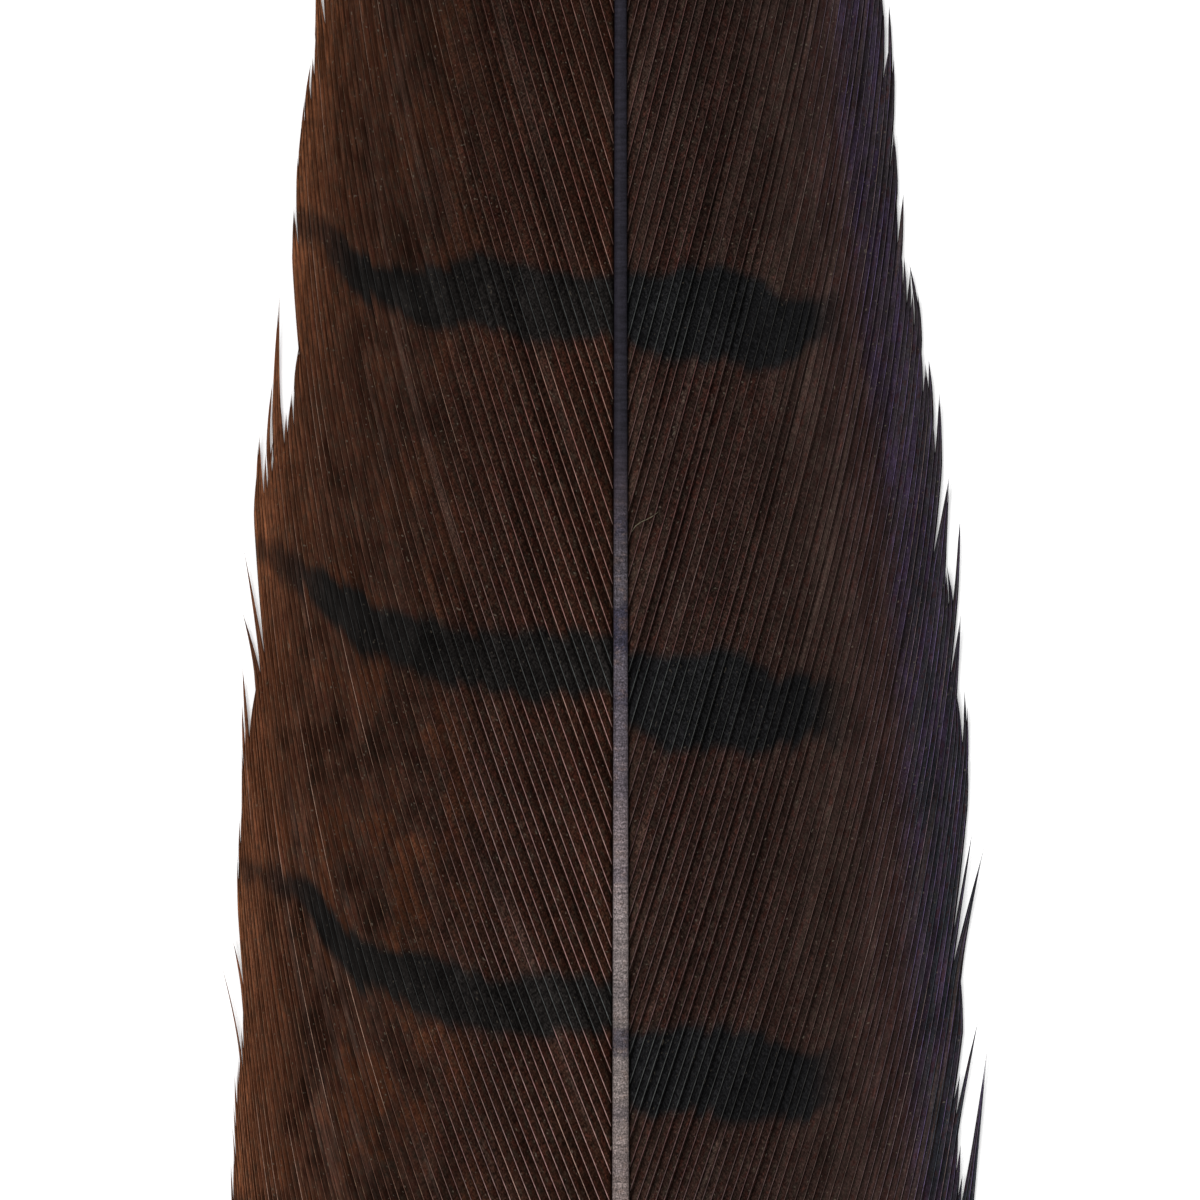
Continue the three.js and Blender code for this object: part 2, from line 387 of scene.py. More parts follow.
class Soup:
    """A mesh under construction: corners, faces, texture places, and numbers for the materials."""

    def __init__(self):
        self.places, self.faces, self.texture, self.values, self.count = [], [], [], {}, 0

    def add(self, places, faces, texture, **values):
        """Adds rows of corners. A value is one number for all, or numbers by row, column or both."""
        self.places.append(places.reshape(-1, 3))
        self.faces.append(faces + self.count)
        self.texture.append(texture)
        self.count += len(self.places[-1])
        for name, value in values.items():
            spread = np.broadcast_to(value, places.shape[:-1])
            self.values.setdefault(name, []).append(spread.ravel())

    def build(self, name, material):
        places = np.concatenate(self.places)
        faces = np.concatenate(self.faces)
        mesh = bpy.data.meshes.new(name)
        mesh.vertices.add(len(places))
        mesh.vertices.foreach_set("co", (places * MM).ravel())
        mesh.loops.add(faces.size)
        mesh.loops.foreach_set("vertex_index", faces.ravel())
        mesh.polygons.add(len(faces))
        mesh.polygons.foreach_set("loop_start", np.arange(0, faces.size, 4))
        mesh.update(calc_edges=True)
        mesh.polygons.foreach_set("use_smooth", np.ones(len(faces), bool))
        for value_name, parts in self.values.items():
            attribute = mesh.attributes.new(value_name, "FLOAT", "POINT")
            attribute.data.foreach_set("value", np.concatenate(parts).astype(np.float32))
        texture = mesh.uv_layers.new(name="OFBake")
        texture.data.foreach_set("uv", np.concatenate(self.texture).astype(np.float32).ravel())
        mesh.materials.append(material)
        return add_object(name, mesh)


def grid(rows, columns, strip, closed=False, flipped=False):
    """Quads between corners given row by row, and the places of their corners in a texture strip."""
    across = columns if closed else columns - 1
    row, column = np.meshgrid(np.arange(rows - 1), np.arange(across), indexing="ij")
    corner_row = np.stack([row, row, row + 1, row + 1], -1).reshape(-1, 4)
    corner_column = np.stack([column, column + 1, column + 1, column], -1).reshape(-1, 4)
    faces = corner_row * columns + corner_column % columns
    low, high = strip
    texture = np.stack([corner_row / (rows - 1), low + (high - low) * corner_column / across], -1)
    if flipped:
        return faces[:, ::-1], texture[:, ::-1]
    return faces, texture


# A barb's web runs from under its outer neighbour, past its own middle, over its inner neighbour's
# outer part: stations in half pitches, with their height against the vane's surface.
WEB_STATIONS = np.array([-0.95, -0.5, -0.1, 0.1, 0.6, 1.2, 1.78])
WEB_LIFT = np.array([-0.1, -0.095, -0.085, -0.012, -0.015, -0.04, -0.068])

# A ramus has four sides. It is thin, with a low crest and a deep keel, and it slims twice towards
# its end: slowly, and then to a point.
RAMUS_RING = np.array([[-1, 0], [0, 1], [1, 0], [0, -1]])
ramus_half = profile((0, 0.013), (60, 0.017), (113, 0.02), (180, 0.03), (255, 0.045))
RAMUS_SUNK = 0.01
RAMUS_RISE = 0.038
RAMUS_KEEL = 0.16
RAMUS_SLIM, SLIM_LENGTH = 0.62, 45
RAMUS_POINT, POINT_LENGTH = 0.12, 3
GROWN_SEED = 40  # sets how a bar's thickness strays apart from how its middle does


def to_places(side, offset, from_tip, height):
    return np.stack([shaft_x(from_tip) + side * offset, TIP_Y - from_tip, height], -1)


def corner_values(side, barb, offset, from_tip):
    """What the materials ask of every corner of a barb."""
    strayed = from_tip + barb["bar_shift"] + bar_wander(barb["number"], from_tip)
    grown = barb["bar_grow"] + bar_wander(barb["number"] + GROWN_SEED, from_tip)
    bar_aside, bar_half = nearest_bar(side, offset, strayed)
    return {
        "from_tip": from_tip, "offset": offset, "clear": offset - shaft_width(from_tip) / 2,
        "outward": offset / np.maximum(vane_half_width[side](from_tip), 1),
        "along": barb["root"] - from_tip, "tone": barb["tone"], "number": barb["number"],
        "bar_aside": bar_aside, "bar_half": bar_half + grown,
    }


def add_rows(soup, side, barb, offset, height, closed=False, **values):
    """Adds rows of corners across a barb, with a strip of the texture that no other barb has."""
    from_tip = np.broadcast_to(barb["from_tip"][:, None], offset.shape)
    strip = (barb["number"] / barb["count"], (barb["number"] + 1) / barb["count"])
    flipped = side == (LEFT if closed else RIGHT)
    faces, texture = grid(*offset.shape, strip, closed, flipped)
    soup.add(to_places(side, offset, from_tip, height), faces, texture,
             **values, **corner_values(side, barb, offset, from_tip))


def add_web(soup, side, barb):
    from_tip, outer, inner = barb["from_tip"][:, None], barb["outer"][:, None], barb["inner"][:, None]
    beside = -WEB_STATIONS * np.where(WEB_STATIONS > 0, inner, outer)
    foot = shaft_width(from_tip) / 2 - FOOT_DEPTH
    offset = np.maximum(barb["centre"][:, None] + beside, foot)
    height = vane_height(side, offset, from_tip) + WEB_LIFT + barb["rise"][:, None]
    add_rows(soup, side, barb, offset, height, across=WEB_STATIONS, beside=beside)


def add_ramus(soup, side, barb):
    barb = barb | {key: barb[key][barb["own_root"]:] for key in ("from_tip", "to_end", "centre", "rise")}
    slowly = RAMUS_SLIM + (1 - RAMUS_SLIM) * np.clip(barb["to_end"] / SLIM_LENGTH, 0, 1)
    slim = np.clip(barb["to_end"] / POINT_LENGTH, RAMUS_POINT, 1) * slowly
    half = ramus_half(barb["from_tip"]) * slim
    rise = np.where(RAMUS_RING[:, 1] > 0, RAMUS_RISE, RAMUS_KEEL) * slim[:, None]
    surface = vane_height(side, barb["centre"], barb["from_tip"]) + barb["rise"]
    offset = barb["centre"][:, None] + half[:, None] * RAMUS_RING[:, 0]
    height = surface[:, None] - RAMUS_SUNK + rise * RAMUS_RING[:, 1]
    add_rows(soup, side, barb, offset, height, closed=True)


# ---- materials

def linear(value):
    """A screen value from 0 to 255 as the linear number that shaders take."""
    return value / 255 / 12.92 if value < 10.3 else ((value / 255 + 0.055) / 1.055) ** 2.4


def srgb(red, green, blue):
    return linear(red), linear(green), linear(blue), 1


def fill(tree, node, inputs):
    """Sets a node's inputs to numbers and colours, or links them to outputs."""
    for key, value in inputs.items():
        if isinstance(value, Output):
            tree.links.new(value.socket, node.inputs[key])
        else:
            node.inputs[key].default_value = value


def add_node(tree, kind, inputs, output=0, **settings):
    """Makes a node with its inputs filled, and gives one of its outputs."""
    made = tree.nodes.new("ShaderNode" + kind)
    for key, value in settings.items():
        setattr(made, key, value)
    fill(tree, made, inputs)
    return Output(tree, made.outputs[output])


class Output:
    """A node's output, and what follows from it. Other numbers and colours can be outputs too."""

    def __init__(self, tree, socket):
        self.tree, self.socket = tree, socket

    def math(self, operation, second=0.0, third=0.0):
        return add_node(self.tree, "Math", {0: self, 1: second, 2: third}, operation=operation)

    def __add__(self, number):
        return self.math("ADD", number)

    def __sub__(self, number):
        return self.math("SUBTRACT", number)

    def __rsub__(self, number):
        return add_node(self.tree, "Math", {0: number, 1: self}, operation="SUBTRACT")

    def __mul__(self, number):
        return self.math("MULTIPLY", number)

    def __abs__(self):
        return self.math("ABSOLUTE")

    def step(self, low, high, start=0.0, end=1.0):
        """Moves smoothly from start to end while this goes from low to high."""
        span = {"Value": self, "From Min": low, "From Max": high, "To Min": start, "To Max": end}
        return add_node(self.tree, "MapRange", span, interpolation_type="SMOOTHSTEP")

    def noise(self, detail=2.0, roughness=0.5):
        """Noise from 0 to 1 at this place, even over one unit."""
        inputs = {"Vector": self, "Scale": 1.0, "Detail": detail, "Roughness": roughness}
        return add_node(self.tree, "TexNoise", inputs, "Fac")

    def graded(self, places, colours):
        """A shader colour that follows this from place to place."""
        ramp = add_node(self.tree, "ValToRGB", {0: self})
        elements = ramp.socket.node.color_ramp.elements
        for place in places[2:]:
            elements.new(place)
        for element, place, colour in zip(elements, places, colours, strict=True):
            element.position = place
            element.color = colour
        return ramp

    def ramp(self, *stops):
        """A screen colour that follows this from stop to stop."""
        return self.graded([place for place, colour in stops], [srgb(*colour) for place, colour in stops])

    def curve(self, low, high, *heights):
        """A number that follows this from low to high through evenly spaced heights."""
        span = add_node(self.tree, "MapRange", {"Value": self, "From Min": low, "From Max": high})
        top = max(heights)
        greys = [(height / top, height / top, height / top, 1) for height in heights]
        return span.graded(np.linspace(0, 1, len(heights)), greys) * top

    def mix(self, first, second):
        """The colour that is this share of the way from first to second."""
        ends = [srgb(*end) if isinstance(end, tuple) else end for end in (first, second)]
        return add_node(self.tree, "Mix", {0: self, 6: ends[0], 7: ends[1]}, 2, data_type="RGBA")

    def between(self, first, second):
        """The number that is this share of the way from first to second."""
        return (second - first).math("MULTIPLY_ADD", self, first)

    def dim(self, amount):
        """This colour times a number."""
        return add_node(self.tree, "VectorMath", {0: self, 3: amount}, operation="SCALE")


def noise(x, y=0.0, z=0.0, detail=2.0, roughness=0.5):
    """Noise over three numbers. A plain one among them only picks a pattern."""
    return add_node(x.tree, "CombineXYZ", {0: x, 1: y, 2: z}).noise(detail, roughness)


class Shader:
    """A material, and the outputs that its colours start from."""

    def __init__(self, name, roughness, specular):
        self.material = bpy.data.materials.new(name)
        self.material.use_nodes = True
        self.tree = self.material.node_tree
        self.give({"Roughness": roughness, "Specular IOR Level": specular})

    def give(self, inputs):
        fill(self.tree, self.tree.nodes["Principled BSDF"], inputs)

    def values(self, *names):
        """What the mesh's corners hold under these names."""
        return [add_node(self.tree, "Attribute", {}, "Fac", attribute_name=name) for name in names]

    def place(self, *scale):
        """The place on the feather in millimetres, each axis times a number."""
        where = add_node(self.tree, "TexCoord", {}, "Object")
        inputs = {0: where, 1: [number / MM for number in scale]}
        return add_node(self.tree, "VectorMath", inputs, operation="MULTIPLY")

    def finish(self, colour, bump=None, strength=0, distance=0):
        self.give({"Base Color": colour})
        if bump:
            inputs = {"Height": bump, "Strength": strength, "Distance": distance * MM}
            self.give({"Normal": add_node(self.tree, "Bump", inputs)})
        return self.material


# Colours by how far outward a place is, from the shaft at 0 to the margin at 1.
WEB_COLOURS = {
    LEFT: ((0, (38, 22, 15)), (0.3, (41, 25, 19)), (0.6, (48, 31, 24)), (0.8, (56, 35, 26)),
           (0.9, (69, 42, 29)), (0.96, (92, 56, 37)), (1, (112, 70, 46))),
    RIGHT: ((0, (50, 36, 30)), (0.08, (48, 34, 29)), (0.16, (40, 27, 23)), (0.42, (44, 31, 27)),
            (0.6, (51, 38, 34)), (0.78, (57, 41, 39)), (0.88, (55, 44, 52)), (0.95, (48, 42, 47)),
            (1, (48, 42, 45))),
}
# Painted shade and light over a barb's web: dark in the grooves at its edges and light near its middle,
# from its hidden outer edge at -1 past its middle to its inner edge at 2.
WEB_LIGHT = {
    LEFT: (0.4, 0.45, 0.55, 0.9, 1.15, 1.15, 1.1, 1.02, 0.92, 0.7, 0.5),
    RIGHT: (0.35, 0.35, 0.4, 1.1, 1.5, 1.45, 1.3, 1.1, 0.85, 0.55, 0.36),
}
GROOVE_AT_MARGIN = {LEFT: 0.35, RIGHT: 0.5}  # how much of that play of light is left there
FIBROUS = {LEFT: 0.85, RIGHT: 0.6}  # how far fine fibres take the place of specks towards the margin
# Light over a vane, from the shaft to the margin, and on its rami, from the photo's top to its foot.
WEB_LEVEL = {LEFT: (0.86, 0.7, 0.72, 0.74, 0.8, 0.94),
             RIGHT: (0.68, 0.66, 0.65, 0.66, 0.66, 0.66, 0.65, 0.63, 0.52, 0.55, 0.74)}
RAMUS_LEVEL = {LEFT: (0.76, 0.94, 1.2, 1.32, 1.36, 1.4), RIGHT: (1, 1, 1.04, 1.06, 1.06, 1.06)}
SHEAF_MIX = {LEFT: 0.3, RIGHT: 0.42}  # how pale the palest families of barbs are
RAMUS_COLOURS = {
    LEFT: ((0, (150, 112, 100)), (0.15, (128, 92, 82)), (0.4, (84, 60, 52)), (0.7, (66, 44, 35)),
           (0.9, (84, 54, 40)), (1, (112, 70, 48))),
    RIGHT: ((0, (104, 78, 73)), (0.15, (94, 68, 64)), (0.4, (80, 60, 56)), (0.65, (76, 59, 55)),
            (0.85, (88, 74, 84)), (1, (84, 75, 82))),
}
RAMUS_REDDISH = {LEFT: (126, 70, 66), RIGHT: (92, 44, 42)}
RAMUS_GREY = {LEFT: (128, 112, 114), RIGHT: (80, 68, 70)}
RAMUS_LONE = {LEFT: (142, 114, 100), RIGHT: (112, 94, 88)}  # a few barbs that stand out pale
RAMUS_TAN = {LEFT: (112, 94, 74), RIGHT: (80, 66, 54)}
WEB_RUFOUS, WEB_VIOLET, WEB_DUSK = (72, 40, 24), (58, 47, 68), (37, 40, 45)
WEB_OLIVE, WEB_RUDDY = (44, 40, 33), (54, 24, 18)
WEB_SHEAF, WEB_FLECK = (86, 70, 63), (104, 96, 84)
RAMUS_SHEEN, RAMUS_DUSK = (92, 78, 114), (50, 60, 68)
BAR_WEB = {LEFT: (25, 23, 22), RIGHT: (24, 24, 25)}
BAR_RAMUS = ((0, (70, 72, 71)), (0.4, (44, 44, 43)), (1, (28, 27, 26)))
OWN_PATTERNS = 97  # how far the tones of barbs, from 0 to 1, are spread out in the noise


def bar_mask(shader, side, fine):
    """1 inside a black bar and 0 outside. Its edge is ragged, and it fades towards its outer end."""
    aside, half, offset, outward = shader.values("bar_aside", "bar_half", "offset", "outward")
    depth = half - abs(aside) + fine.math("MULTIPLY_ADD", 0.5, -0.25)
    strength = outward.step(0.78, 0.95, 1, 0.6) if side == LEFT else offset.step(7.8, 10.2, 1, 0)
    return depth.step(-0.36, 0.36) * strength


def family_light(shader, low, high):
    """Light that is alike on neighbouring barbs, and differs between families of them."""
    along, number = shader.values("along", "number")
    return noise(along * 0.2, number * 0.33, 9, 3, 0.6).step(0.3, 0.7, low, high)


def left_blotch(shader):
    """Noise in patches that cross the barbs of the left vane."""
    offset, from_tip = shader.values("offset", "from_tip")
    return noise(offset * 0.5, from_tip * 0.27, 3, 3, 0.6)


def web_ground(shader, side):
    """A web's colour without bars: rufous on the left, and violet and dusky near the right margin."""
    along, number, from_tip, outward = shader.values("along", "number", "from_tip", "outward")
    colour = outward.ramp(*WEB_COLOURS[side])
    if side == LEFT:
        inner_blotch = outward.step(0.25, 0.6) * left_blotch(shader).step(0.52, 0.4)
        warm = inner_blotch * from_tip.step(84, 98, 0.3, 0.65)
        return warm.mix(colour, WEB_RUFOUS)
    strokes = noise(along * 0.35, number * 0.7, 21, 3, 0.6)
    violet_zone = outward.step(0.78, 0.84) * outward.step(1, 0.93, 0.3, 1)
    violet = violet_zone * strokes.step(0.45, 0.62) * from_tip.step(90, 104, 1, 0.5)
    colour = (violet * 0.75).mix(colour, WEB_VIOLET)
    dusk = outward.step(0.79, 0.89) * strokes.step(0.62, 0.46) * from_tip.step(74, 100, 0.25, 0.85)
    return dusk.mix(colour, WEB_DUSK)


def web_colour(shader, side, own, mask):
    """A web's colour with its tints, its pale families of barbs and the bars."""
    along, number, beside = shader.values("along", "number", "beside")
    tint = noise(along * 2.2, beside * 5, own, 2, 0.6)
    sheaf = noise(along * 0.045, number * 0.45, 34, 1)
    ribbon = noise(beside * 9, along * 0.08, own, 1)
    pale = sheaf.step(0.58, 0.68) * ribbon.step(0.4, 0.65, 0.15, 1) * SHEAF_MIX[side]
    colour = (tint.step(0.52, 0.66) * 0.4).mix(web_ground(shader, side), WEB_OLIVE)
    colour = (tint.step(0.46, 0.34) * 0.4).mix(colour, WEB_RUDDY)
    colour = pale.mix(colour, WEB_SHEAF)
    return mask.mix(colour, BAR_WEB[side])


def web_light(shader, side, own, grain):
    """How light a web is: specks and barbules near the shaft, fibres near the margin, painted groove
    shade and a painted shadow by the shaft.
    """
    along, across, beside = shader.values("along", "across", "beside")
    from_tip, outward, clear = shader.values("from_tip", "outward", "clear")
    spread = abs(beside)
    barbule = noise((along + spread * -0.8) * 13, spread * 3, own + 3, 1, 0.6)
    fibre = noise(along * 0.9, beside * 12, own + 11)
    streak = noise(along * 0.16, own)
    smooth = outward.step(0.3, 0.75, 0, FIBROUS[side])
    specks = smooth.between(grain.curve(0.25, 0.75, 0.2, 0.45, 0.95, 1.75, 3), 1.05)
    hatch = smooth.between(barbule.step(0.32, 0.68, 0.7, 1.35), 1.0)
    fibres = smooth.between(1.0, fibre.curve(0.28, 0.72, 0.45, 0.75, 1, 1.4, 2))
    # Painted shade: the web darkens in the grooves beside the rami, less so towards the margin.
    groove = across.curve(-1, 2, *WEB_LIGHT[side]) - 1.0
    kept = outward.step(0.15, 0.85, 1, GROOVE_AT_MARGIN[side])
    # The last factor is a painted shadow: the web darkens to a quarter where it meets the shaft.
    light = (specks * hatch * fibres * streak.step(0.3, 0.7, 0.8, 1.24) * family_light(shader, 0.78, 1.22)
             * groove.math("MULTIPLY_ADD", kept, 1.0) * outward.curve(0, 1, *WEB_LEVEL[side])
             * from_tip.step(66, 78, 0.9, 1) * clear.step(0.0, 0.16, 0.25, 1))
    if side == RIGHT:
        return light
    patch = (outward.step(0.3, 0.55) * outward.step(1, 0.9) * left_blotch(shader).step(0.52, 0.64)
             * from_tip.step(84, 98, -0.32, -0.5))
    return light * (patch + 1)


def web_material(side):
    shader = Shader(SIDE_NAME[side] + "_web", 0.85, 0.01)
    own = shader.values("tone")[0] * OWN_PATTERNS
    along, beside = shader.values("along", "beside")
    grain = noise(along * 10, beside * 14, own, 3, 0.7)
    fleck = noise(along * 8, beside * 9, own + 7, 0)
    mask = bar_mask(shader, side, grain)
    colour = web_colour(shader, side, own, mask).dim(web_light(shader, side, own, grain))
    bright_fleck = fleck.step(0.77, 0.84) * mask.step(1, 0.4, 0.5, 1) * 0.4
    return shader.finish(bright_fleck.mix(colour, WEB_FLECK), grain, 0.4, 0.03)


def right_rim(shader, colour):
    """A ramus's colour with the sheen and the dusk of the right margin."""
    along, number, from_tip, outward = shader.values("along", "number", "from_tip", "outward")
    sheen = noise(along * 0.4, number * 0.8, 21, 3, 0.6)
    rim = outward.step(0.79, 0.85)
    colour = (rim * sheen.step(0.48, 0.58, 0, 0.7)).mix(colour, RAMUS_SHEEN)
    dusky = rim * sheen.step(0.54, 0.42) * from_tip.step(74, 100, 0.2, 0.75)
    return dusky.mix(colour, RAMUS_DUSK)


def ramus_material(side):
    shader = Shader(SIDE_NAME[side] + "_ramus", 0.6, 0.12)
    own = shader.values("tone")[0] * OWN_PATTERNS
    along, number, clear = shader.values("along", "number", "clear")
    from_tip, outward = shader.values("from_tip", "outward")
    grain = noise(along * 4, own, 0, 3, 0.65)
    tint = noise(along * 0.3, own, 5, 2, 0.6)
    hue = noise(along * 1.6, own, 8, 2, 0.6)
    lone = noise(along * 0.06, number * 1.7, 41, 1)
    colour = hue.step(0.52, 0.68, 0, 0.35).mix(outward.ramp(*RAMUS_COLOURS[side]), RAMUS_TAN[side])
    reddish = tint.step(0.45, 0.62) * outward.step(0.6, 0.2) * 0.45
    colour = reddish.mix(colour, RAMUS_REDDISH[side])
    greyed = from_tip.step(76, 100, 0.1, 0.42) * outward.step(0.55, 0.3)
    colour = greyed.mix(colour, RAMUS_GREY[side])
    if side == RIGHT:
        colour = right_rim(shader, colour)
    colour = lone.step(0.62, 0.7, 0, 0.6).mix(colour, RAMUS_LONE[side])
    colour = bar_mask(shader, side, grain).mix(colour, outward.ramp(*BAR_RAMUS))
    # The last factor is a painted shadow: the rami darken to a quarter where they meet the shaft.
    light = (grain.step(0.25, 0.75, 0.6, 1.4) * family_light(shader, 0.8, 1.2)
             * from_tip.curve(60, 116, *RAMUS_LEVEL[side]) * clear.step(0.0, 0.22, 0.25, 1))
    return shader.finish(colour.dim(light))


SHAFT_COLOURS = ((0, (28, 24, 23)), (0.14, (33, 29, 30)), (0.215, (34, 32, 40)), (0.28, (34, 32, 39)),
                 (0.288, (54, 48, 55)), (0.3, (72, 67, 72)), (0.313, (75, 70, 77)),
                 (0.325, (82, 75, 81)), (0.34, (111, 100, 102)), (0.352, (120, 110, 109)),
                 (0.366, (112, 103, 101)), (0.39, (116, 104, 101)), (0.52, (134, 121, 108)),
                 (0.7, (154, 143, 127)), (0.84, (176, 167, 151)), (0.93, (188, 181, 167)),
                 (1, (176, 168, 155)))
SHAFT_BLUE, SHAFT_BUFF = (44, 42, 56), (128, 104, 92)
QUILL_HORN, QUILL_WHITE, QUILL_CAP = (150, 128, 98), (196, 190, 178), (128, 116, 100)
# Dark bluish patches on the shaft: the middle's distance from the tip, half the length, and how dark.
SHAFT_PATCHES = ((85.1, 0.35, 0.5), (89.4, 1, 0.8), (92.3, 0.3, 0.45), (95.9, 0.5, 0.3), (99.7, 0.3, 0.4),
                 (104.6, 0.4, 0.25), (106.7, 0.55, 0.7), (109.7, 0.3, 0.35), (117, 0.6, 0.5),
                 (124.5, 0.9, 0.4))


def shaft_patches(from_tip, cloud, mottled):
    """How dark the bluish patches of the shaft are: the listed ones, and bands of noise."""
    strayed = from_tip + cloud.math("MULTIPLY_ADD", 1.2, -0.6)
    patches = 0.0
    for middle, half, dark in SHAFT_PATCHES:
        patch = abs(strayed - middle).step(half + 0.25, half - 0.2, 0, dark)
        patches = patch.math("MAXIMUM", patches)
    bands = mottled * noise(from_tip * 0.8, 0, 5, 3, 0.6).step(0.55, 0.72, 0, 0.4)
    return bands.math("MAXIMUM", patches)


def quill_colour(colour, from_tip, around, cloud):
    """The quill's colour: horn on its sides and a whitish top, partly its own colour and partly painted
    shade and light of a round tube, and the caps of dried pulp that show through it.
    """
    quill = from_tip.step(240, 262)
    caps = ((from_tip + around * -0.7) * 0.8).math("FRACT")
    cap = (caps.step(0.1, 0.03) * around.step(0.5, 0.75) * from_tip.step(286, 280)
           * from_tip.step(258, 266) * cloud.step(0.35, 0.6))
    # Partly painted shade and light: horn darkens the sides and underside, and white lightens the top.
    inside = quill * around.step(0.3, 0.95)
    colour = (quill * around.step(0.95, 0) * 0.65).mix(colour, QUILL_HORN)
    colour = (inside * 0.5).mix(colour, QUILL_WHITE)
    return (cap * 0.4).mix(colour, QUILL_CAP)


def shaft_light(shader, speckle, mottled):
    """Rough where the shaft is mottled and smooth elsewhere, hatched across, with painted shade on its
    sides and underside.
    """
    from_tip, around = shader.values("from_tip", "around")
    hatch = shader.place(1.1, 9, 1.1).noise(2, 0.6)
    rough = speckle.curve(0.3, 0.7, 0.2, 0.5, 0.95, 1.6, 2.5)
    darkest, lightest = from_tip.step(120, 220, 0.72, 0.95), from_tip.step(120, 220, 1.2, 1.07)
    smooth = speckle.step(0.3, 0.7, darkest, lightest)
    light = mottled * rough + (1.0 - mottled) * smooth
    hatched = hatch.step(0.3, 0.7, 0.72, 1.28) - 1.0
    light = light * hatched.math("MULTIPLY_ADD", from_tip.step(220, 130, 0.12, 1), 1.0)
    # Painted shade: the shaft darkens where it turns away from the top, down to 0.4 at its sides and
    # below.
    return light * around.step(0.05, 0.6, 0.4, 1)


def shaft_material():
    shader = Shader("shaft_keratin", 0.55, 0.06)
    from_tip, around = shader.values("from_tip", "around")
    speckle = shader.place(13, 13, 13).noise(3, 0.75)
    cloud = shader.place(2, 3, 2).noise(3, 0.6)
    mottled = from_tip.step(82, 87) * from_tip.step(200, 130)
    colour = from_tip.math("DIVIDE", FEATHER_LENGTH).ramp(*SHAFT_COLOURS)
    colour = shaft_patches(from_tip, cloud, mottled).mix(colour, SHAFT_BLUE)
    colour = (mottled * cloud.step(0.5, 0.7, 0, 0.25)).mix(colour, SHAFT_BUFF)
    colour = quill_colour(colour, from_tip, around, cloud)
    return shader.finish(colour.dim(shaft_light(shader, speckle, mottled)), speckle, 0.2, 0.02)


# ---- shaft

SHAFT_SIDES = 24
SHAFT_FOLDS = 8  # lengths that the shaft's texture is cut in
SHAFT_STEPS = 72 * SHAFT_FOLDS
SHAFT_POINT = 0.02  # radius at the shaft's tip
# The quill's end draws in round a small hole: distances from the tip and radii.
QUILL_END = ((290, 0.4), (289.6, 0.3), (288.6, 0.27), (288.4, 0.02))
GROOVE_DEPTH = 0.22  # of the groove under the shaft, as a share of its radius
GROOVE_HALF_ANGLE = 0.36
GROOVE_END = 252
GROOVE_FADE = 12  # the length in which the groove gets its depth


def fold_texture(texture):
    """Lays the shaft's long texture out as strips side by side."""
    fold = np.floor(texture[:, :1, 0] * SHAFT_FOLDS + 1e-6)
    return np.stack([texture[..., 0] * SHAFT_FOLDS - fold, (texture[..., 1] + fold) / SHAFT_FOLDS], -1)


def build_shaft():
    soup = Soup()
    long_part = np.linspace(SHAFT_TIP, FEATHER_LENGTH, SHAFT_STEPS - len(QUILL_END))
    end_places, end_radii = np.array(QUILL_END).T
    from_tip = np.concatenate([[SHAFT_TIP], long_part, end_places])[:, None]
    radius = np.concatenate([[SHAFT_POINT], shaft_width(long_part) / 2, end_radii])[:, None]
    turn = np.arange(SHAFT_SIDES) * 2 * np.pi / SHAFT_SIDES
    grooved = np.clip((GROOVE_END - from_tip) / GROOVE_FADE, 0, 1)
    under = np.exp(-((turn - np.pi) / GROOVE_HALF_ANGLE) ** 2)
    reach = radius * (1 - GROOVE_DEPTH * grooved * under)
    height = shaft_height(from_tip) + reach * np.cos(turn)
    places = to_places(RIGHT, reach * np.sin(turn), np.broadcast_to(from_tip, height.shape), height)
    faces, texture = grid(*height.shape, (0, 1), closed=True)
    soup.add(places, faces, fold_texture(texture), from_tip=from_tip, around=np.cos(turn))
    return soup.build("shaft", shaft_material())


# ---- strands and down

def add_strand(soup, points, radii, cell, **values):
    """A thin tube of three sides through points, with its texture in a cell of the texture square."""
    ahead = np.gradient(points, axis=0)
    level = np.cross(ahead, (0, 0, 1))
    level /= np.linalg.norm(level, axis=1)[:, None]
    up = np.cross(level, ahead)
    up /= np.linalg.norm(up, axis=1)[:, None]
    turn = np.arange(3)[None, :, None] * 2 * np.pi / 3
    round_it = np.cos(turn) * up[:, None] + np.sin(turn) * level[:, None]
    faces, texture = grid(len(points), 3, (0, 1), closed=True)
    number, cells = cell
    corner = np.array([number % cells, number // cells])
    places = points[:, None] + np.reshape(radii, (-1, 1, 1)) * round_it
    soup.add(places, faces, (texture * 0.9 + corner) / cells, **values)


# A shed barbule lies across the right vane beside the shaft: offsets, distances from the tip,
# heights above the vane and radii.
SHED_LINE = ((0.45, 85.35, 0.12, 0.008), (0.62, 85.1, 0.16, 0.022), (0.85, 84.93, 0.14, 0.028),
             (1.1, 84.82, 0.1, 0.026), (1.35, 84.68, 0.12, 0.02), (1.58, 84.5, 0.1, 0.006))
SHED_DARK, SHED_PALE = (66, 60, 50), (128, 120, 98)


def build_shed_barbule():
    soup = Soup()
    offset, from_tip, above, radii = np.array(SHED_LINE).T
    height = vane_height(RIGHT, offset, from_tip) + above
    add_strand(soup, to_places(RIGHT, offset, from_tip, height), radii, (0, 1), along=offset[:, None])
    shader = Shader("shed_keratin", 0.6, 0.1)
    spots = noise(shader.values("along")[0] * 9, 2, 1, 2, 0.6)
    colour = spots.step(0.35, 0.65).mix(SHED_DARK, SHED_PALE)
    return soup.build("shed_barbule", shader.finish(colour, spots, 0.2, 0.01))


